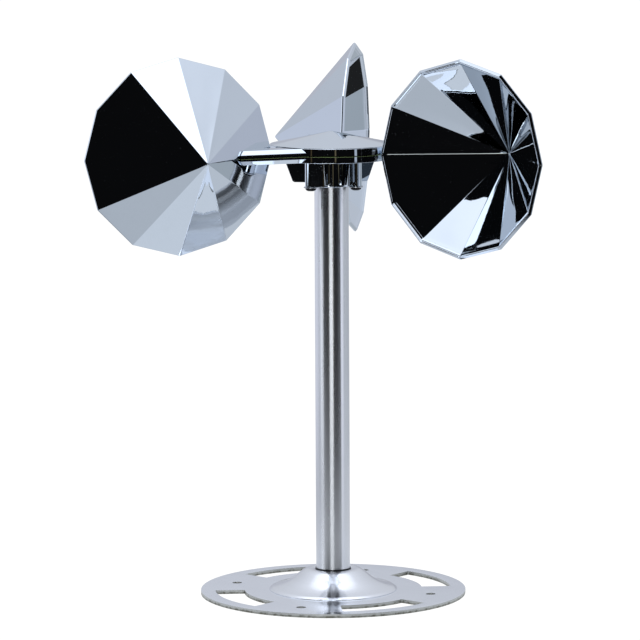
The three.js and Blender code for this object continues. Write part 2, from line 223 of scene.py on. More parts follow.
def tube_ring(name, inner, outer, bottom, top, edge=0.15, segments=96):
    line = [(inner, bottom), (outer, bottom), (outer, top), (inner, top)]
    return rounded_turn(name, line, edge, segments)


def rod(name, radius, bottom, top, segments=64, edge=0.0):
    line = [(0, bottom), (radius, bottom), (radius, top), (0, top)]
    return rounded_turn(name, line, edge, segments) if edge else turned(name, line, segments)


def polar(radius, angle):
    return (radius * math.cos(angle), radius * math.sin(angle))


def arc(radius, start, end, steps):
    return [polar(radius, start + (end - start) * i / steps) for i in range(steps + 1)]


def inset_loop(loop, distance):
    """A closed 2-D outline moved inwards (to its left) by a distance, with mitred corners."""
    result = []
    for i, point in enumerate(loop):
        here = Vector(point)
        into = (here - Vector(loop[i - 1])).normalized()
        out = (Vector(loop[(i + 1) % len(loop)]) - here).normalized()
        normal = Vector((-into.y - out.y, into.x + out.x)).normalized()
        lean = max(0.3, normal.dot(Vector((-into.y, into.x))))
        result.append(tuple(here + normal * (distance / lean)))
    return result


def slab(name, loops, bottom, top, edge=0.0):
    """A flat plate between two heights. The first loop is its outline, anticlockwise, and the
    others are its holes, clockwise. Its edges are eased by a chamfer of the size edge."""
    levels = [(0.0, bottom), (0.0, top)]
    if edge:
        levels = [(edge, bottom), (edge * 0.3, bottom + edge * 0.3), (0.0, bottom + edge)]
        levels += [(0.0, top - edge), (edge * 0.3, top - edge * 0.3), (edge, top)]
    work = bmesh.new()
    ends = {0: [], len(levels) - 1: []}
    for loop in loops:
        rows = []
        for inset, height in levels:
            flat = inset_loop(loop, inset) if inset else loop
            rows.append([work.verts.new((x * MM, y * MM, height * MM)) for x, y in flat])
        count = len(loop)
        for low, high in zip(rows, rows[1:]):
            for i in range(count):
                j = (i + 1) % count
                work.faces.new((low[i], low[j], high[j], high[i]))
        for level in ends:
            row = rows[level]
            for i in range(count):
                ends[level].append(work.edges.get((row[i], row[(i + 1) % count])))
    for edges in ends.values():
        bmesh.ops.triangle_fill(work, use_beauty=True, edges=edges)
    bmesh.ops.recalc_face_normals(work, faces=work.faces)
    return linked(name, bpy.data.meshes.new(name), work)


def catmull(points, steps):
    """Points on a smooth line through the given 2-D points."""
    result = []
    last = len(points) - 1
    for i in range(last):
        p0, p1 = Vector(points[max(i - 1, 0)]), Vector(points[i])
        p2, p3 = Vector(points[i + 1]), Vector(points[min(i + 2, last)])
        for k in range(steps):
            t = k / steps
            tangent_a, tangent_b = (p2 - p0) / 2, (p3 - p1) / 2
            square, cube = t * t, t * t * t
            place = p1 * (2 * cube - 3 * square + 1) + p2 * (3 * square - 2 * cube)
            place += tangent_a * (cube - 2 * square + t) + tangent_b * (cube - square)
            result.append(tuple(place))
    result.append(tuple(points[last]))
    return result


# ---- materials ----
class Nodes:
    """A short way to write a node tree."""

    def __init__(self, tree):
        self.tree = tree
        tree.nodes.clear()

    def add(self, kind, inputs=None, **settings):
        node = self.tree.nodes.new("ShaderNode" + kind)
        for key, value in settings.items():
            setattr(node, key, value)
        for key, value in (inputs or {}).items():
            if isinstance(value, bpy.types.NodeSocket):
                self.tree.links.new(value, node.inputs[key])
            else:
                node.inputs[key].default_value = value
        return node

    def math(self, operation, *values):
        return self.add("Math", dict(enumerate(values)), operation=operation).outputs[0]

    def times(self, first, second):
        return self.math("MULTIPLY", first, second)

    def span(self, value, low, high, to_low=0.0, to_high=1.0, kind="SMOOTHSTEP"):
        """The value carried from one range to another, and held at its ends."""
        names = ("Value", "From Min", "From Max", "To Min", "To Max")
        inputs = dict(zip(names, (value, low, high, to_low, to_high)))
        node = self.add("MapRange", inputs, interpolation_type=kind)
        return node.outputs["Result"]

    def grade(self, cloud, low, high):
        """The middle of a noise's range spread evenly between two values."""
        return self.span(cloud, 0.3, 0.7, low, high, "LINEAR")

    def noise(self, vector, scale, detail=2.0, roughness=0.5):
        inputs = {"Vector": vector, "Scale": scale, "Detail": detail, "Roughness": roughness}
        return self.add("TexNoise", inputs).outputs["Fac"]

    def stretch(self, vector, scale):
        return self.add("Mapping", {"Vector": vector, "Scale": scale}).outputs["Vector"]

    def scaled(self, *axes):
        """A vector of three values, each given with its scale."""
        inputs = {key: self.times(*axis) for key, axis in zip("XYZ", axes)}
        return self.add("CombineXYZ", inputs).outputs[0]

    def mix(self, factor, first, second):
        inputs = {0: factor, 6: first, 7: second}
        return self.add("Mix", inputs, data_type="RGBA").outputs[2]


def rgb(r, g, b):
    return (r, g, b, 1.0)


def shade(tint, factor):
    return rgb(*[min(1, c * factor) for c in tint])


def new_material(name):
    made = bpy.data.materials.new(name)
    made.use_nodes = True
    return made, Nodes(made.node_tree)


def start_material(name, metallic=1.0):
    made, nodes = new_material(name)
    place = nodes.add("TexCoord").outputs["Object"]
    shader = nodes.add("BsdfPrincipled")
    output = nodes.add("OutputMaterial")
    nodes.tree.links.new(shader.outputs[0], output.inputs["Surface"])
    shader.inputs["Metallic"].default_value = metallic
    return made, nodes, place, shader


def finish_material(nodes, shader, colour, roughness, height, distance):
    """Links the colour and roughness, and a bump of a height map times a depth in metres."""
    bump = nodes.add("Bump", {"Height": height, "Distance": distance, "Strength": 1.0})
    links = nodes.tree.links
    links.new(colour, shader.inputs["Base Color"])
    links.new(roughness, shader.inputs["Roughness"])
    links.new(bump.outputs[0], shader.inputs["Normal"])


def brush_round(nodes, shader, strength):
    """Polishing marks that run round the Z axis, so reflections spread across them."""
    tangent = nodes.add("Tangent", direction_type="RADIAL", axis="Z").outputs[0]
    nodes.tree.links.new(tangent, shader.inputs["Tangent"])
    shader.inputs["Anisotropic"].default_value = strength
    shader.inputs["Anisotropic Rotation"].default_value = 0.25


def mirror_plating(name="mirror_plating", tint=(0.60, 0.66, 0.73), rough=0.02):
    """Bright plating over moulded plastic: a slow ripple, fine dust and faint wiping marks."""
    made, nodes, place, shader = start_material(name)
    cloud = nodes.noise(place, 30.0, 3.0)
    speck = nodes.span(nodes.noise(place, 2600.0, 1.0), 0.74, 0.80)
    wipe = nodes.noise(nodes.stretch(place, (60.0, 60.0, 900.0)), 1.0, 3.0, 0.6)
    colour = nodes.mix(cloud, shade(tint, 0.97), shade(tint, 1.02))
    colour = nodes.mix(nodes.times(speck, 0.12), colour, rgb(0.5, 0.5, 0.5))
    roughness = nodes.grade(cloud, rough * 0.7, rough * 1.6)
    roughness = nodes.math("ADD", roughness, nodes.span(wipe, 0.55, 0.8, 0.0, 0.012, "LINEAR"))
    roughness = nodes.math("ADD", roughness, nodes.times(speck, 0.25))
    height = nodes.noise(place, 160.0, 2.0, 0.45)
    finish_material(nodes, shader, colour, roughness, height, 0.000012)
    return made


def brushed_tube():
    """Polished stainless tube: satin, with fine marks round it and a few along it."""
    made, nodes, place, shader = start_material("brushed_tube")
    brush_round(nodes, shader, 0.85)
    fine = nodes.noise(nodes.stretch(place, (0.06, 0.06, 1.0)), 2400.0, 3.0, 0.6)
    broad = nodes.noise(nodes.stretch(place, (1.0, 1.0, 0.08)), 160.0, 2.0)
    mark = nodes.noise(nodes.stretch(place, (1.0, 1.0, 0.1)), 700.0, 1.0)
    colour = nodes.mix(fine, rgb(0.715, 0.735, 0.765), rgb(0.765, 0.785, 0.815))
    scuff = nodes.span(mark, 0.72, 0.80, 0.0, 0.35)
    colour = nodes.mix(scuff, colour, rgb(0.60, 0.61, 0.63))
    roughness = nodes.grade(broad, 0.27, 0.285)
    finish_material(nodes, shader, colour, roughness, broad, 0.0000003)
    return made


def radial_place(nodes, place):
    """The distance from the Z axis, the angle about it, and the height."""
    parts = nodes.add("SeparateXYZ", {"Vector": place}).outputs
    inputs = {0: place, 1: (1.0, 1.0, 0.0)}
    flat = nodes.add("VectorMath", inputs, operation="MULTIPLY").outputs[0]
    length = nodes.add("VectorMath", {0: flat}, operation="LENGTH").outputs["Value"]
    angle = nodes.math("ARCTAN2", parts["Y"], parts["X"])
    return length, angle, parts["Z"]


def spun_steel(name="spun_steel", tint=(0.74, 0.76, 0.80), low=0.15, high=0.19):
    """Spun or turned metal: fine rings about the axis."""
    made, nodes, place, shader = start_material(name)
    brush_round(nodes, shader, 0.8)
    length, angle, height = radial_place(nodes, place)
    ring = nodes.scaled((length, 2200.0), (angle, 0.6), (height, 1800.0))
    grain = nodes.noise(ring, 1.0, 3.0, 0.6)
    cloud = nodes.noise(place, 55.0, 3.0)
    colour = nodes.mix(grain, shade(tint, 0.96), shade(tint, 1.03))
    roughness = nodes.grade(cloud, low, high)
    finish_material(nodes, shader, colour, roughness, cloud, 0.000006)
    return made


def sheet_steel():
    """Cold-rolled sheet, lightly polished: crossing hair scratches and clouded patches."""
    made, nodes, place, shader = start_material("sheet_steel")
    first = nodes.noise(nodes.stretch(place, (70.0, 2600.0, 400.0)), 1.0, 2.0, 0.6)
    second = nodes.noise(nodes.stretch(place, (1900.0, 110.0, 400.0)), 1.0, 2.0, 0.6)
    cloud = nodes.noise(place, 24.0, 4.0, 0.6)
    colour = nodes.mix(cloud, rgb(0.80, 0.835, 0.89), rgb(0.87, 0.905, 0.955))
    hair = nodes.times(nodes.span(first, 0.62, 0.75), nodes.span(cloud, 0.3, 0.6))
    colour = nodes.mix(nodes.times(hair, 0.4), colour, rgb(0.55, 0.56, 0.57))
    roughness = nodes.grade(cloud, 0.08, 0.14)
    height = nodes.math("ADD", first, nodes.times(second, 0.4))
    finish_material(nodes, shader, colour, roughness, height, 0.000002)
    return made


def cut_edge():
    """The laser-cut edge of the sheet: upright striations and a rough grain, darker and warmer
    towards the bottom, with dark blotches along it.
    """
    made, nodes, place, shader = start_material("cut_edge")
    length, angle, height = radial_place(nodes, place)
    line = nodes.scaled((angle, 240.0), (length, 300.0), (height, 220.0))
    grain = nodes.noise(line, 1.0, 3.0, 0.65)
    blotch = nodes.noise(place, 260.0, 3.0, 0.6)
    # Dark blotches that grow towards the bottom of the edge.
    bottom_blotches = nodes.times(nodes.span(blotch, 0.42, 0.64), nodes.span(height, 0.0026, 0.0010))
    colour = nodes.mix(grain, rgb(0.36, 0.37, 0.35), rgb(0.60, 0.61, 0.60))
    # Darker towards the bottom of the edge.
    low = nodes.span(height, 0.0017, 0.0010)
    colour = nodes.mix(nodes.times(low, 0.6), colour, rgb(0.20, 0.20, 0.16))
    colour = nodes.mix(nodes.times(bottom_blotches, 0.8), colour, rgb(0.09, 0.085, 0.06))
    roughness = nodes.grade(grain, 0.30, 0.48)
    finish_material(nodes, shader, colour, roughness, grain, 0.00006)
    return made


def fine_metal(name, dark, light, low, high, scale=900.0, depth=0.000008):
    """A plated or ground small part: fine cloudy grain."""
    made, nodes, place, shader = start_material(name)
    grain = nodes.noise(place, scale, 3.0, 0.6)
    cloud = nodes.noise(place, scale / 12, 2.0)
    colour = nodes.mix(cloud, rgb(*dark), rgb(*light))
    roughness = nodes.grade(grain, low, high)
    finish_material(nodes, shader, colour, roughness, grain, depth)
    return made


def seal_rubber():
    """Black moulded rubber with a dull skin and a little dust."""
    made, nodes, place, shader = start_material("seal_rubber", metallic=0.0)
    grain = nodes.noise(place, 2200.0, 3.0, 0.6)
    dust = nodes.span(nodes.noise(place, 320.0, 3.0), 0.55, 0.8, 0.0, 0.25)
    colour = nodes.mix(dust, rgb(0.012, 0.012, 0.013), rgb(0.08, 0.08, 0.08))
    roughness = nodes.grade(grain, 0.42, 0.62)
    finish_material(nodes, shader, colour, roughness, grain, 0.00002)
    return made


MIRROR = mirror_plating()
FLASH = mirror_plating("parting_line", (0.20, 0.26, 0.11), 0.10)
TUBE_STEEL = brushed_tube()
SPUN = spun_steel()
SHEET = sheet_steel()
CUT = cut_edge()
ZINC = fine_metal("zinc_steel", (0.50, 0.52, 0.55), (0.64, 0.66, 0.69), 0.20, 0.34)
BEARING_STEEL = fine_metal(
    "bearing_steel", (0.62, 0.63, 0.66), (0.72, 0.73, 0.76), 0.08, 0.16, 1400.0)
ALUMINIUM = spun_steel("turned_aluminium", (0.80, 0.81, 0.83), 0.26, 0.38)
BLACK_STEEL = fine_metal(
    "black_steel", (0.012, 0.013, 0.015), (0.035, 0.036, 0.04), 0.12, 0.24)
WELD = fine_metal(
    "weld_metal", (0.30, 0.27, 0.26), (0.62, 0.60, 0.60), 0.24, 0.42, 500.0, 0.00004)
RUBBER = seal_rubber()


def piece(obj, body, node, slot, *materials):
    """Gives a finished mesh its materials and its place in the frame."""
    obj.data.materials.clear()
    for one in materials:
        obj.data.materials.append(one)
    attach(obj, body)
    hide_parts(node)
    return obj


# ---- the stand ----
def plate_loops():
    """The base plate's outline, its four arc slots and its four bolt holes."""
    loops = [arc(PLATE_RADIUS, 0, TAU, 288)[:-1]]
    half = math.radians(22.5)
    outer_steps, inner_steps, corner = 40, 32, 1.0
    for i in range(4):
        middle = math.radians(45 + 90 * i)
        outline = arc(SLOT_OUTER, middle - half, middle + half, outer_steps)
        outline += arc(SLOT_INNER, middle + half, middle - half, inner_steps)
        last = len(outline) - 1
        rounded = (0, outer_steps, outer_steps + 1, last)
        radii = [corner if k in rounded else 0 for k in range(len(outline))]
        loops.append(fillet(outline, radii, 4)[::-1])
    for i in range(4):
        x, y = polar(BOLT_CIRCLE, i * TAU / 4)
        hole = [(x + u, y + v) for u, v in arc(BOLT_RADIUS, 0, TAU, 48)[:-1]]
        loops.append(hole[::-1])
    return loops


def base_plate():
    obj = slab("base_plate_sheet", plate_loops(), 0.0, PLATE_TOP, 0.25)
    smooth(obj, 30)
    piece(obj, "stand", "base_plate", "polished_steel", SHEET, CUT)
    for face in obj.data.polygons:
        face.material_index = 1 if abs(face.normal.z) < 0.6 else 0


def flange_cover():
    """A spun sheet: the line of its upper side, and the same line one sheet below it."""
    bore, height, rim = 13.1, 15.3, COVER_RIM
    drops = [
        (bore, 0.9), (13.7, 0.2), (16.5, 0), (19.5, 0.2), (22.5, 1.7), (26.0, 4.4), (30.0, 7.6),
        (34.0, 10.0), (38.0, 11.7), (42.0, 12.9), (45.0, 13.7),
    ]
    points = [(radius, height - drop) for radius, drop in drops]
    outer = catmull(points + [(rim, COVER_SHEET * 0.3)], 14)
    inner = []
    for i, point in enumerate(outer):
        before = Vector(outer[max(i - 1, 0)])
        after = Vector(outer[min(i + 1, len(outer) - 1)])
        along = (after - before).normalized()
        inner.append((point[0] + along.y * COVER_SHEET, point[1] - along.x * COVER_SHEET))
    inner[0] = (bore, inner[0][1])
    inner[-1] = (rim - COVER_SHEET, 0.0)
    edge = 0.15
    line = inner + [(rim - edge, 0.0), (rim, edge)] + outer[::-1]
    obj = turned("flange_cover_dish", [(r, h + PLATE_TOP) for r, h in line], 256)
    piece(smooth(obj, 40), "stand", "flange_cover", "spun_steel", SPUN)


def stand():
    base_plate()
    flange_cover()

    inner = TUBE_RADIUS - TUBE_WALL
    tube = tube_ring("mast_tube_drawn", inner, TUBE_RADIUS, PLATE_TOP, TUBE_TOP, 0.2, 192)
    piece(smooth(tube), "stand", "mast_tube", "brushed_tube", TUBE_STEEL)

    inner = TUBE_RADIUS + FIT / 2
    leg, ripples, ripple_depth = 4.4, 44, 0.28
    line = [(inner, PLATE_TOP), (inner + leg, PLATE_TOP), (inner + 3.1, 3.9),
            (inner + 1.85, 4.85), (inner + 0.9, 6.1), (inner, 7.4)]

    def ripple(angle, radius):
        lean = (radius - inner) / leg
        wave = 0.5 + 0.5 * math.sin(ripples * angle + 5 * lean)
        return -ripple_depth * lean * (1 - lean) * 4 * wave

    bead = turned("weld_bead_ripple", line, 352, ripple)
    piece(smooth(bead, 60), "stand", "weld_bead", "polished_steel", WELD)

    # A black rubber seal ring in the gap between tube and cover bore. Its black also stands for
    # the shadow in that gap, so it is partly painted shade.
    seal = tube_ring("cover_seal_gap_shade_ring", TUBE_RADIUS + RUN, 12.95, 16.6, 18.9, 0.15, 160)
    piece(smooth(seal), "stand", "cover_seal", "seal_rubber", RUBBER)

    bore, fit, shoulder = SPINDLE_BORE, TUBE_RADIUS - TUBE_WALL - 0.1, 12.3
    line = [(bore, 283.0), (fit - 0.8, 283.0), (fit, 283.8), (fit, TUBE_TOP),
            (shoulder, TUBE_TOP), (shoulder, PLUG_TOP), (bore, PLUG_TOP)]
    plug = rounded_turn("tube_plug_turned", line, 0.2, 128)
    piece(smooth(plug), "stand", "tube_plug", "turned_aluminium", ALUMINIUM)

    bottom, top, radius, chamfer_radius = 286.0, 335.5, 3.95, 3.35
    line = [(0, bottom), (chamfer_radius, bottom), (radius, 286.6), (radius, 334.9),
            (chamfer_radius, top), (0, top)]
    spindle = rounded_turn("spindle_ground", line, 0.1, 96)
    piece(smooth(spindle), "stand", "spindle", "zinc_steel", ZINC)

    spacer_bottom = LOWER_BEARING + BEARING_WIDTH
    rings = [
        ("shim_washer", 5.9, PLUG_TOP, LOWER_BEARING, "zinc_steel", ZINC),
        ("bearing_spacer", 5.8, spacer_bottom, UPPER_BEARING, "turned_aluminium", ALUMINIUM),
        ("nut_washer", 5.9, STACK_TOP, NUT_BOTTOM, "zinc_steel", ZINC),
    ]
    for node, radius, bottom, top, slot, finish in rings:
        obj = tube_ring(node + "_turned", bore, radius, bottom, top, 0.12)
        piece(smooth(obj), "stand", node, slot, finish)
    lock_nut()


def lock_nut():
    """A hexagon nut with chamfered corners and a locking collar on top."""
    corner, face, collar = 13 / math.sqrt(3), 6.6, 5.9
    line = [(0, 0), (face, 0), (corner, 0.6), (corner, 5.3), (face, 6.0), (6.0, 6.0),
            (collar, 6.2), (collar, 7.5), (5.3, 8.0), (0, 8.0)]
    nut = turned("lock_nut_hexagon", [(r, NUT_BOTTOM + h) for r, h in line], 96)
    hexagon = [polar(corner, i * TAU / 6) for i in range(6)]
    low, high = NUT_BOTTOM - 1, NUT_BOTTOM + 9
    combine(nut, [slab("hexagon", [hexagon], low, high)], "INTERSECT")
    combine(nut, [rod("bore", SPINDLE_BORE, low, high)], "DIFFERENCE")
    piece(smooth(nut, 25), "stand", "lock_nut", "zinc_steel", ZINC)


# ---- the bearings ----
def groove(land, middle, steps=10):
    """The round groove for the balls in the land of a bearing ring, from below."""
    reach = land - BALL_CIRCLE
    half = math.acos(abs(reach) / GROOVE_RADIUS)
    result = []
    for i in range(steps + 1):
        angle = -half + 2 * half * i / steps
        depth = math.copysign(GROOVE_RADIUS * math.cos(angle), reach)
        result.append((BALL_CIRCLE + depth, middle + GROOVE_RADIUS * math.sin(angle)))
    return result


def bearing(prefix, bottom):
    top = bottom + BEARING_WIDTH
    middle = bottom + BEARING_WIDTH / 2
    bore, land, break_edge = SPINDLE_BORE, INNER_LAND, 0.15
    arc_in = groove(land, middle)
    line = [(bore, bottom), (land, bottom)] + arc_in + [(land, top), (bore, top)]
    radii = [0.25, break_edge] + [0] * len(arc_in) + [break_edge, 0.25]
    obj = turned(prefix + "_bearing_inner_race", fillet(line, radii, 3))
    piece(smooth(obj), "stand", prefix + "_bearing_inner_ring", "bearing_steel", BEARING_STEEL)

    rim, land = BEARING_RADIUS, OUTER_LAND
    arc_out = groove(land, middle)[::-1]
    line = [(rim, bottom), (rim, top), (land, top)] + arc_out + [(land, bottom)]
    radii = [0.3, 0.3, break_edge] + [0] * len(arc_out) + [break_edge]
    obj = turned(prefix + "_bearing_outer_race", fillet(line, radii, 3))
    piece(smooth(obj), "rotor", prefix + "_bearing_outer_ring", "bearing_steel", BEARING_STEEL)

    shield = 0.35
    for side, low in (("lower", bottom + 0.3), ("upper", top - 0.65)):
        name = f"{prefix}_bearing_{side}_shield"
        obj = tube_ring(name + "_pressed", 6.3, 9.12, low, low + shield, 0.1)
        piece(smooth(obj), "rotor", name, "zinc_steel", ZINC)

    half_cage, ball_count = 1.4, 7
    cage = tube_ring(
        prefix + "_bearing_cage", 7.1, 8.1, middle - half_cage, middle + half_cage, 0.15)
    balls = []
    for i in range(ball_count):
        work = bmesh.new()
        bmesh.ops.create_icosphere(work, subdivisions=4, radius=BALL_RADIUS * MM)
        ball = linked("ball", bpy.data.meshes.new("ball"), work)
        balls.append(placed(ball, i * TAU / ball_count, (BALL_CIRCLE, 0, middle)))
    combine(cage, balls, "UNION")
    node = prefix + "_bearing_balls"
    piece(smooth(cage, 30), prefix + "_balls", node, "bearing_steel", BEARING_STEEL)


# ---- the cups ----
HALF_SIDE = math.pi / CUP_SIDES
RIDGE = 0.32  # half the width of a rounded ridge between two flats
RIDGE_STEPS = 4
FLAT_STEPS = [0.03, 0.1, 0.2, 0.3, 0.4, 0.5, 0.6, 0.7, 0.8, 0.9, 0.97]
DISH = 0.07  # how far a flat is hollowed
WAVE = 0.06  # the size of its slow waves
SLOPE_OUT = math.atan2(CUP_DEPTH, CUP_RADIUS)
SLOPE_IN = math.atan2(INSIDE_DEPTH, INSIDE_RADIUS)


def cup_row(radius, side, dent):
    """One row round the cup's axis: flats between twelve small rounded ridges.
    dent(facet, part) moves a flat's point outwards; it gives back (radial, side) moves."""
    flat = 2 * radius * math.sin(HALF_SIDE)
    reach = min(RIDGE, 0.12 * flat)
    size = reach / math.tan(HALF_SIDE)
    centre = radius - size / math.cos(HALF_SIDE)
    row = []
    for k in range(CUP_SIDES):
        corner = 2 * HALF_SIDE * k
        for step in range(RIDGE_STEPS + 1):
            lean = corner + HALF_SIDE * (2 * step / RIDGE_STEPS - 1)
            x = centre * math.cos(corner) + size * math.cos(lean)
            z = centre * math.sin(corner) + size * math.sin(lean)
            row.append((x, side, z))
        facing = corner + HALF_SIDE
        apothem = radius * math.cos(HALF_SIDE)
        for part in FLAT_STEPS:
            across = (part - 0.5) * (flat - 2 * reach)
            out, up = dent(k, part) if dent else (0.0, 0.0)
            x = (apothem + out) * math.cos(facing) - across * math.sin(facing)
            z = (apothem + out) * math.sin(facing) + across * math.cos(facing)
            row.append((x, side + up, z))
    return row


def cup_mesh(name, seed):
    """The cup's shell: a twelve-sided point with a skirt and a stepped lip."""
    line = [(CUP_RADIUS - 0.3, 0.255), (CUP_RADIUS, -0.27), (CUP_RADIUS, -1.0),
            (69.95, -CUP_LIP), (69.7, -CUP_LIP), (69.3, -1.75), (68.9, -1.7), (68.6, -1.2),
            (INSIDE_RADIUS, -0.15), (67.4, 0.175)]
    radii = [0.1, 0.1, 0.12, 0.15, 0.12, 0.12, 0.12, 0.12, 0.15, 0]
    closed = fillet([(0.0, CUP_DEPTH)] + line + [(0.0, INSIDE_DEPTH)], [0] + radii + [0], 5)
    lip = closed[1:-1]
    tip_loss = 0.35

    def cone(start, depth, slope, side):
        """Rows from near the apex out to the point where the lip starts."""
        rows = []
        parts = [0.006, 0.012, 0.02, 0.035, 0.055, 0.08, 0.11]
        near, count = parts[-1], 26
        parts += [near + (1 - near) * (i + 1) / count for i in range(count - 1)]
        for part in parts:
            radius = start[0] * part
            height = depth + (start[1] - depth) * part
            blunt = 0.3 * max(0.0, 1 - part / 0.02) ** 2

            def dent(facet, across, part=part):
                swell = 4 * across * (1 - across)
                fade = min(1.0, (1 - part) * 8) * min(1.0, part * 3)
                own = facet * 3.7 + side * 17 + seed * 5.3
                wave = noise.noise(Vector((part * 2.6, across * 1.1, own)))
                move = (-DISH + WAVE * wave * 2) * swell * fade
                return move * math.sin(slope), move * math.cos(slope)

            rows.append((radius, height - blunt, dent))
        return rows

    rows = cone(lip[0], CUP_DEPTH, SLOPE_OUT, 0)
    rows += [(radius, height, None) for radius, height in lip]
    rows += cone(lip[-1], INSIDE_DEPTH, SLOPE_IN, 1)[::-1]
    points = [(0.0, CUP_DEPTH - tip_loss, 0.0)]
    faces = []
    count = CUP_SIDES * (RIDGE_STEPS + 1 + len(FLAT_STEPS))
    for radius, height, dent in rows:
        points += cup_row(radius, height, dent)
    points.append((0.0, INSIDE_DEPTH - tip_loss, 0.0))
    last = len(points) - 1
    for i in range(count):
        j = (i + 1) % count
        faces.append((0, 1 + j, 1 + i))
        for r in range(len(rows) - 1):
            low, high = 1 + r * count, 1 + (r + 1) * count
            faces.append((low + i, low + j, high + j, high + i))
        faces.append((last, last - count + i, last - count + j))
    obj = mesh_object(name, points, faces)
    return placed(obj, 0, (CUP_REACH, 0, SEAM))


def cup_block(name, radius, mouth, depth):
    """A plain twelve-sided point, for cutting with."""
    points = [(0, mouth, 0), (0, depth, 0)]
    for side in (mouth, 0.0):
        for k in range(CUP_SIDES):
            x, z = polar(radius, 2 * HALF_SIDE * k)
            points.append((x, side, z))
    faces = []
    low, high = 2, 2 + CUP_SIDES
    for i in range(CUP_SIDES):
        j = (i + 1) % CUP_SIDES
        faces += [(0, low + i, low + j), (low + i, high + i, high + j, low + j)]
        faces.append((high + i, 1, high + j))
    return placed(mesh_object(name, points, faces), 0, (CUP_REACH, 0, SEAM))


def cup_space(gap):
    """The room that a cup takes up, with a gap round it."""
    radius = CUP_RADIUS + gap / math.sin(SLOPE_OUT)
    return cup_block("space", radius, -CUP_LIP - gap, CUP_DEPTH * radius / CUP_RADIUS)


def tongue(gap):
    """The tab by which the hub holds a cup, or its pocket when there is a gap."""
    near, far = 48 - gap, 83
    front, back, half = 13 - gap, 27 + gap, 1.5 + gap
    outline = [(near, front), (56, front), (far, back), (near, back)]
    return slab("tongue", [outline], SEAM - half, SEAM + half)


def cup(letter, index):
    obj = cup_mesh("cup_" + letter + "_shell", index)
    tab = tongue(0.0)
    combine(tab, [cup_block("inside", 69.0, -8.0, 59.8)], "DIFFERENCE")
    hole = placed(rod("hole", 2.3, SEAM - 5, SEAM + 5), 0, PEG_PLACE)
    combine(tab, [hole], "DIFFERENCE")
    combine(obj, [tab], "UNION")
    smooth(obj, 28)
    placed(obj, ROTOR_REST + index * TAU / ARMS)
    piece(obj, "rotor", "cup_" + letter, "mirror_plating", MIRROR)


# ---- the hub ----
DRUM_RADIUS = 45.0
ARM_SIDE = 2.2  # how far an arm's upright side goes from the seam
ARM_HALF = 5.2  # how far a half goes from the seam
ARM_INSIDE = 2.6  # thickness of an arm's walls
ARM_START, ARM_TIP, ARM_END = 12, 68, 82
ARM_FRONT, ARM_BACK = 10, 31.7
DRAFT = math.tan(math.radians(2))
SPLIT = 0.03  # half the width of the seam


def arm_outline(inset):
    """Plan of one arm, moved inwards by inset."""
    start, front, back = ARM_START, ARM_FRONT + inset, ARM_BACK - inset
    end, tip = ARM_END - inset, ARM_TIP - inset
    return [(start, front), (tip, front), (end, front + end - tip), (end, back), (start, back)]


def stacked(name, levels):
    """An arm's solid from its outlines at several heights."""
    points, faces = [], []
    for inset, height in levels:
        points += [(x, y, height) for x, y in arm_outline(inset)]
    count = len(points) // len(levels)
    for row in range(len(levels) - 1):
        for i in range(count):
            j = (i + 1) % count
            low, high = row * count, (row + 1) * count
            faces.append((low + i, low + j, high + j, high + i))
    faces.append(tuple(range(count))[::-1])
    faces.append(tuple(range(len(points) - count, len(points))))
    return mesh_object(name, points, faces)


def hub_half(name, sign):
    """One half of the drum and arms: upright drum wall, arms with a 45 degree bevel."""
    seam = 0.6 if sign < 0 else 0.1
    draft = DRAFT * ARM_HALF if sign > 0 else 0.0
    bevel, middle = ARM_HALF - ARM_SIDE, 20
    side = [
        (middle, SPLIT), (seam, SPLIT), (0, SPLIT + seam), (0.05, ARM_SIDE),
        (bevel, ARM_HALF), (middle, ARM_HALF),
    ]
    line = fillet(side, [0, 0, 0, 0.5, 0.4, 0], 3)[1:-1]
    levels = [(inset, SEAM + sign * height) for inset, height in line]
    wall = [
        (0, SPLIT), (DRUM_RADIUS - seam, SPLIT), (DRUM_RADIUS, SPLIT + seam),
        (DRUM_RADIUS - draft, ARM_HALF), (0, ARM_HALF),
    ]
    drum = fillet(wall, [0, 0, 0, 0.35, 0], 3)
    half = turned(name, [(radius, SEAM + sign * height) for radius, height in drum], 288)
    around(half, lambda: stacked("arm", levels if sign > 0 else levels[::-1]), "UNION")
    low = FLOOR if sign < 0 else SEAM - 1
    high = SEAM + 1 if sign < 0 else CEILING
    cavity = rod("cavity", DRUM_RADIUS - HUB_WALL, low, high, 144)
    around(cavity, lambda: stacked("arm", [(ARM_INSIDE, low), (ARM_INSIDE, high)]), "UNION")
    around(cavity, lambda: cup_space(HUB_WALL + FIT), "DIFFERENCE")
    around(half, lambda: cup_space(FIT), "DIFFERENCE")
    combine(half, [cavity], "DIFFERENCE")
    return around(half, lambda: tongue(FIT), "DIFFERENCE")


def around(obj, make, operation):
    """Applies the same cutter or addition once for each arm."""
    copies = [placed(make(), i * TAU / ARMS) for i in range(ARMS)]
    return combine(obj, copies, operation)


def tower(radius, bottom, top, edge=0.0):
    x, y = polar(TOWER_REACH, TOWER_TURN)
    return placed(rod("tower", radius, bottom, top, 48, edge), 0, (x, y, 0))


def rib(turn):
    """An upright wall under the drum that leans outwards as it rises."""
    foot, bottom, top, half = 15.0, 28.6, 35.2, 0.9
    roof = HUB_BOTTOM + SINK
    outline = [
        (foot, RIB_BOTTOM), (bottom - 1.5, RIB_BOTTOM), (bottom, RIB_BOTTOM + 0.75),
        (top, roof), (foot, roof),
    ]
    made = slab("rib", [outline], -half, half, 0.25)
    made.data.transform(Matrix.Rotation(math.pi / 2, 4, "X"))
    return placed(made, turn)


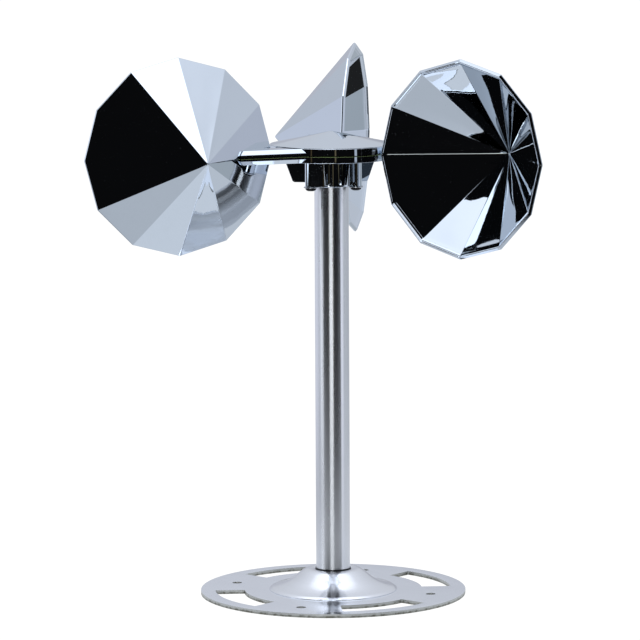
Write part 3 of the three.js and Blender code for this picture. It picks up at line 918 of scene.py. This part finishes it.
def apron():
    """A flat wall from a screw tower to the bearing housing."""
    x, y = polar(TOWER_REACH, TOWER_TURN)
    out_x, out_y = polar(TOWER_RADIUS, APRON_TURN)
    along_x, along_y = polar(APRON_LENGTH, APRON_TURN + math.pi / 2)
    outline = [
        (x, y), (x + out_x, y + out_y), (x + out_x + along_x, y + out_y + along_y),
        (x + along_x, y + along_y),
    ]
    return slab("apron", [outline], HOUSING_BOTTOM, HUB_BOTTOM + SINK, 0.2)


def hub_lower():
    obj = hub_half("hub_lower_moulding", -1)
    combine(obj, [rod("well", 15.0, HUB_BOTTOM - 1, SEAM)], "DIFFERENCE")
    seat_top, rim, neck = LOWER_BEARING + BEARING_WIDTH, SEAM - FIT, 14.0
    line = [
        (TUBE_WAY, HOUSING_BOTTOM), (HOUSING_RADIUS, HOUSING_BOTTOM), (HOUSING_RADIUS, FLOOR),
        (neck, FLOOR), (neck, rim), (BORE, rim), (BORE, UPPER_BEARING),
        (BEARING_LEDGE, UPPER_BEARING), (BEARING_LEDGE, seat_top), (BORE, seat_top),
        (BORE, LOWER_BEARING), (TUBE_WAY, LOWER_BEARING),
    ]
    radii = [0.4, 0.5, 0.2, 0.3, 0.2, 0.2, 0, 0, 0, 0, 0.2, 0]
    combine(obj, [turned("housing", fillet(line, radii, 3), 128)], "UNION")
    for turn in RIB_TURNS:
        around(obj, lambda: rib(turn), "UNION")
    around(obj, apron, "UNION")
    around(obj, lambda: tower(TOWER_RADIUS, HOUSING_BOTTOM, SEAM - FIT / 2, 0.35), "UNION")
    combine(obj, [rod("bearing_way", BORE, LOWER_BEARING + 1, SEAM + 1, 128)], "DIFFERENCE")
    seat = [
        (BEARING_LEDGE, seat_top), (BORE + SINK, seat_top), (BORE + SINK, UPPER_BEARING),
        (BEARING_LEDGE, UPPER_BEARING),
    ]
    combine(obj, [turned("seats", seat, 128)], "UNION")
    tube_way = rod("tube_way", TUBE_WAY, HOUSING_BOTTOM - 1, LOWER_BEARING, 128)
    combine(obj, [tube_way], "DIFFERENCE")
    around(obj, lambda: tower(2.2, HOUSING_BOTTOM - 1, SEAM + 1), "DIFFERENCE")
    finish_hub(obj, "hub_lower_shell")


def hub_upper():
    obj = hub_half("hub_upper_moulding", 1)
    inner, outer = CAP_OPENING, 10.75
    bottom, top = STACK_TOP + FIT, CEILING + SINK
    collar = [(inner, bottom), (outer, bottom), (outer, top), (inner, top)]
    combine(obj, [turned("collar", collar, 128)], "UNION")
    around(obj, lambda: tower(3.7, SEAM + FIT / 2, top), "UNION")
    around(obj, lambda: placed(rod("peg", 2.0, SEAM - 1.5, top, 48), 0, PEG_PLACE), "UNION")
    combine(obj, [rod("opening", CAP_OPENING, SEAM, HUB_TOP + 1, 128)], "DIFFERENCE")
    around(obj, lambda: tower(SCREW_HOLE, SEAM - 1, CEILING), "DIFFERENCE")
    finish_hub(obj, "hub_upper_shell")


def finish_hub(obj, node):
    """Shades and places a half; the chamfer at its seam gets the parting line's look."""
    smooth(obj, 24)
    placed(obj, ROTOR_REST)
    piece(obj, "rotor", node, "mirror_plating", MIRROR, FLASH)
    for face in obj.data.polygons:
        near_seam = -0.8 < face.center.z / MM - SEAM < 0
        face.material_index = 1 if near_seam and 0.2 < abs(face.normal.z) < 0.98 else 0


def hub_cap():
    """A hollow shallow cone with a spigot that sits in the upper shell's opening."""
    radius, tip, rise, edge, sheet = 44.6, 1.5, 9.4, 0.35, 1.6
    bottom = HUB_TOP + RUN
    slope = (rise - edge) / (radius - tip)
    inner, outer, foot = 8.1, 9.3, HUB_TOP - 1.5

    def under(r):
        return bottom + edge + (radius - r) * slope - sheet

    line = [
        (0, under(inner)), (inner, under(inner)), (inner, foot), (outer, foot),
        (outer, under(outer)), (radius - (sheet - edge) / slope, bottom), (radius, bottom),
        (radius, bottom + edge), (tip, bottom + rise), (0, bottom + rise),
    ]
    radii = [0, 0.2, 0.2, 0.2, 0.2, 0.3, 0.08, 0.15, 0.5, 0]
    obj = turned("hub_cap_dome", fillet(line, radii, 4), 256)
    piece(smooth(obj, 30), "rotor", "hub_cap", "mirror_plating", MIRROR)


def screw(letter, index):
    """A pan-head screw from below, with a cross recess, and the washer under its head."""
    washer_sheet, head_radius, head, length = 0.8, 4.0, 2.2, 28.6
    top = HOUSING_BOTTOM - washer_sheet
    line = [
        (0, top - head), (2.4, top - head), (3.68, top - 1.43), (head_radius, top - 0.55),
        (head_radius, top), (SCREW_SHANK, top), (SCREW_SHANK, top + 27.6),
        (1.15, top + length), (0, top + length),
    ]
    radii = [0, 0.7, 0.8, 0.4, 0.12, 0.1, 0.2, 0.2, 0]
    obj = turned("hub_screw_" + letter + "_crosshead", fillet(line, radii, 4), 64)
    long, wide, cross_turn = 2.0, 0.45, 0.3
    for turn in (0, math.pi / 2):
        wing = [(-long, -wide), (long, -wide), (long, wide), (-long, wide)]
        cutter = slab("wing", [wing], top - 3.4, top - 1.0)
        for vertex in cutter.data.vertices:
            if vertex.co.z > (top - 1.5) * MM:
                vertex.co.x *= 0.62
                vertex.co.y *= 0.8
        combine(obj, [placed(cutter, turn + cross_turn)], "DIFFERENCE")
    name = "screw_washer_" + letter
    washer = tube_ring(name + "_pressed", SCREW_HOLE, 5.2, top, HOUSING_BOTTOM, 0.15, 64)
    x, y = polar(TOWER_REACH, TOWER_TURN)
    for one, angle, node, finish in (
        (obj, 30, "hub_screw_" + letter, BLACK_STEEL), (washer, 35, name, ZINC),
    ):
        smooth(one, angle)
        placed(one, 0, (x, y, 0))
        placed(one, ROTOR_REST + index * TAU / ARMS)
        piece(one, "rotor", node, "zinc_steel", finish)


# ---- camera, light and floor ----
VIEW_TURN = math.radians(18)
VIEW_DISTANCE = 3.0634  # metres
VIEW_HEIGHT = 0.600
VIEW_YAW = math.radians(-0.165)
VIEW_PITCH = math.radians(7.393)
VIEW_ROLL = math.radians(-0.274)
LENS = 237.43  # mm, for a sensor 36 mm wide
BLACK = rgb(0.0016, 0.0016, 0.0017)


def camera():
    data = bpy.data.cameras.new("camera")
    data.lens = LENS
    data.sensor_width = 36.0
    data.clip_end = 100.0
    obj = bpy.data.objects.new("camera", data)
    bpy.context.scene.collection.objects.link(obj)
    level = math.cos(VIEW_PITCH)
    forward = Vector((
        math.sin(VIEW_YAW) * level, math.cos(VIEW_YAW) * level, -math.sin(VIEW_PITCH),
    ))
    right = forward.cross(Vector((0, 0, 1))).normalized()
    up = right.cross(forward)
    rolled = right * math.cos(VIEW_ROLL) + up * math.sin(VIEW_ROLL)
    top = up * math.cos(VIEW_ROLL) - right * math.sin(VIEW_ROLL)
    axes = Matrix((rolled, top, -forward)).transposed().to_4x4()
    place = Matrix.Translation((0, -VIEW_DISTANCE, VIEW_HEIGHT)) @ axes
    obj.matrix_world = Matrix.Rotation(VIEW_TURN, 4, "Z") @ place
    bpy.context.scene.camera = obj


def light_ramp(nodes, place, stops, reach, scale, blue):
    """Brightness against an angle, from (degrees, brightness) pairs; slightly cool."""
    node = nodes.add("ValToRGB", {"Fac": place})
    ramp = node.color_ramp.elements
    while len(ramp) < len(stops):
        ramp.new(0.5)
    for element, (angle, level) in zip(ramp, stops):
        element.position = (angle + reach) / (2 * reach)
        value = level / scale
        element.color = rgb(value * 0.955, value * 0.99, value * blue)
    return node.outputs["Color"]


def room_axes(nodes, place):
    """X and Y turned so that Y runs to the back of the room, and Z."""
    inputs = {"Vector": place, "Angle": -VIEW_TURN}
    facing = nodes.add("VectorRotate", inputs, rotation_type="Z_AXIS").outputs[0]
    return nodes.add("SeparateXYZ", {"Vector": facing}).outputs


def front_angle(nodes, parts):
    """Degrees round the axis from the front, positive to the right."""
    turn = nodes.math("ARCTAN2", parts["X"], nodes.times(parts["Y"], -1.0))
    return nodes.times(turn, 180 / math.pi)


def window(nodes, value, low, high, soft):
    """One between low and high and nothing outside them, over soft edges."""
    rise = nodes.span(value, low - soft / 2, low + soft / 2)
    return nodes.times(rise, nodes.span(value, high + soft / 2, high - soft / 2))


def dark_side(nodes, azimuth):
    """The unlit part of the room in front of the object."""
    return window(nodes, azimuth, -63.5, 61, 5)


def camera_switch(nodes, reflected, seen):
    """One shader for the object's light and reflections, and a plain one as the backdrop."""
    ray = nodes.add("LightPath").outputs["Is Camera Ray"]
    both = nodes.add("MixShader", {0: ray, 1: reflected.outputs[0], 2: seen.outputs[0]})
    return both.outputs[0]


def studio():
    """A pale room: soft light all round and brighter above, with a dark side opposite the
    object's front. What the camera sees behind the object is plain white."""
    world = bpy.data.worlds.new("studio")
    bpy.context.scene.world = world
    world.use_nodes = True
    nodes = Nodes(world.node_tree)
    parts = room_axes(nodes, nodes.add("TexCoord").outputs["Generated"])
    azimuth = front_angle(nodes, parts)
    height = nodes.times(nodes.math("ARCSINE", parts["Z"]), 180 / math.pi)

    top_light = 2.6
    upright = [
        (-90, 0.88), (-60, 0.70), (-25, 0.71), (0, 0.74), (15, 0.70), (27, 0.77), (40, 0.86),
        (53, 0.98), (58, 1.2), (62, 1.38), (67, 1.45), (72, 2.2), (90, 2.5),
    ]
    sides = [
        (-180, 0.52), (-168, 0.56), (-150, 0.74), (-128, 0.84), (-103, 0.77), (-88, 0.88),
        (-75, 1.25), (-62, 1.45), (60, 1.20), (76, 0.96), (88, 0.74), (103, 0.64), (125, 0.64),
        (150, 0.50), (179, 0.46), (180, 0.52),
    ]
    upwards = nodes.span(height, -90, 90, kind="LINEAR")
    room = light_ramp(nodes, upwards, upright, 90, top_light, 1.07)
    sideways = nodes.span(azimuth, -180, 180, kind="LINEAR")
    walls = light_ramp(nodes, sideways, sides, 180, top_light, 1.12)
    level = nodes.times(nodes.span(height, -24, -14), nodes.span(height, 15, 7))
    room = nodes.mix(level, room, walls)

    def patch(turns, heights, soft, colour, under):
        """A soft-edged panel of the room between two azimuths and two heights."""
        mask = window(nodes, azimuth, *turns, soft)
        mask = nodes.times(mask, window(nodes, height, *heights, soft))
        return nodes.mix(mask, under, rgb(*[c / top_light for c in colour]))

    dark = nodes.times(dark_side(nodes, azimuth), window(nodes, height, -50, 62, 4))
    room = nodes.mix(dark, room, BLACK)
    # Each panel: its azimuths and heights, the softness of its edges in degrees, its colour.
    for panel in (
        ((-84, -61), (-32, 36), 3, (1.25, 1.30, 1.40)),
        ((-73, -61), (36, 62), 3, (2.30, 2.35, 2.45)),
        ((82, 176), (-25, -3), 5, (0.48, 0.52, 0.56)),
        ((130, 142), (-24, -15), 3, (0.05, 0.06, 0.07)),
        ((-73, -60), (13, 28), 2, (0.14, 0.13, 0.12)),
        ((-73, -60), (-26, -13), 2, (0.14, 0.13, 0.12)),
        ((100, 142), (-38, -25), 3, (0.02, 0.02, 0.02)),
        ((-105, -60), (-7, -3.5), 1, (0.03, 0.03, 0.03)),
        ((88, 94), (-7.5, -4), 1, (0.02, 0.02, 0.02)),
        ((44, 48.5), (-6.3, 1.5), 1, (0.55, 0.60, 0.68)),
        ((6.5, 9), (-6.3, 1.5), 1, (0.15, 0.12, 0.07)),
        ((5.5, 8.5), (-20.5, -8), 1, (1.70, 1.70, 1.60)),
        ((-38.5, -36.5), (-6.3, 1.5), 1, (0.08, 0.06, 0.03)),
    ):
        room = patch(*panel, room)
    reflected = nodes.add("Background", {"Color": room, "Strength": top_light})
    plain = nodes.add("Background", {"Color": rgb(1, 1, 1), "Strength": 1.05})
    nodes.add("OutputWorld", {"Surface": camera_switch(nodes, reflected, plain)})


def ground():
    """A white floor that glows rather than being lit. In reflections its glow is painted light:
    brightest under the object, with painted shade to the left and where it ends on the dark
    side, and a painted brighter patch to the right. The camera sees it plain white.
    """
    radius, drop = 560.0, 0.02
    points = [(x, y, -drop) for x, y in arc(radius, 0, TAU, 128)[:-1]]
    obj = mesh_object("floor", points, [tuple(range(len(points)))])
    made, nodes = new_material("floor_glow_painted_light")
    place = nodes.add("TexCoord").outputs["Object"]
    parts = room_axes(nodes, place)
    reach = nodes.add("VectorMath", {0: place}, operation="LENGTH").outputs["Value"]
    # Painted pool of light: the floor's glow is brightest under the object and dims outwards.
    level = nodes.span(reach, 0.13, 0.24, 0.88, 0.66)
    azimuth = front_angle(nodes, parts)
    # Painted shade on the far floor to the left, and a painted brighter patch on the far floor
    # to the right.
    far = nodes.span(reach, 0.27, 0.33)
    left = nodes.times(window(nodes, azimuth, -150, -58, 16), far)
    right = nodes.times(window(nodes, azimuth, 85, 170, 16), far)
    level = nodes.times(level, nodes.span(left, 0, 1, 1.0, 0.60, "LINEAR"))
    level = nodes.times(level, nodes.span(right, 0, 1, 1.0, 1.14, "LINEAR"))
    # Painted shade: the glow fades to dark on the dark side ahead of the object.
    dark = dark_side(nodes, azimuth)
    slant = nodes.times(nodes.math("MAXIMUM", parts["X"], 0.0), 0.4)
    ahead = nodes.math("SUBTRACT", parts["Y"], slant)
    dark = nodes.times(dark, nodes.span(ahead, -0.28, -0.31))
    level = nodes.times(level, nodes.math("SUBTRACT", 1.0, dark))
    grain = nodes.grade(nodes.noise(place, 900.0), 0.98, 1.02)
    level = nodes.times(level, grain)
    # The floor glows rather than being lit. Reflections see this painted light; the camera sees
    # plain white.
    near = nodes.add("Emission", {"Color": rgb(0.955, 0.995, 1.06), "Strength": level})
    plain = nodes.add("Emission", {"Strength": 1.06})
    nodes.add("OutputMaterial", {"Surface": camera_switch(nodes, near, plain)})
    obj.data.materials.append(made)


def light_panel():
    """A low upright panel of light in front of the object, which the camera looks over."""
    left, right, distance, top = -0.31, 0.105, 1.0, 0.192
    corners = ((left, 0), (right, 0), (right, top), (left, top))
    points = [(x / MM, -distance / MM, z / MM) for x, z in corners]
    obj = placed(mesh_object("light_panel", points, [(0, 1, 2, 3)]), VIEW_TURN)
    made, nodes = new_material("panel_light")
    light = nodes.add("Emission", {"Color": rgb(0.96, 0.98, 1.0), "Strength": 3.4})
    nodes.add("OutputMaterial", {"Surface": light.outputs[0]})
    obj.data.materials.append(made)
    obj.visible_camera = False


camera()
studio()
ground()
light_panel()
stand()
bearing("lower", LOWER_BEARING)
bearing("upper", UPPER_BEARING)
hub_lower()
hub_upper()
hub_cap()
for index, letter in enumerate("abc"):
    cup(letter, index)
    screw(letter, index)

bpy.context.scene.view_settings.view_transform = "Standard"
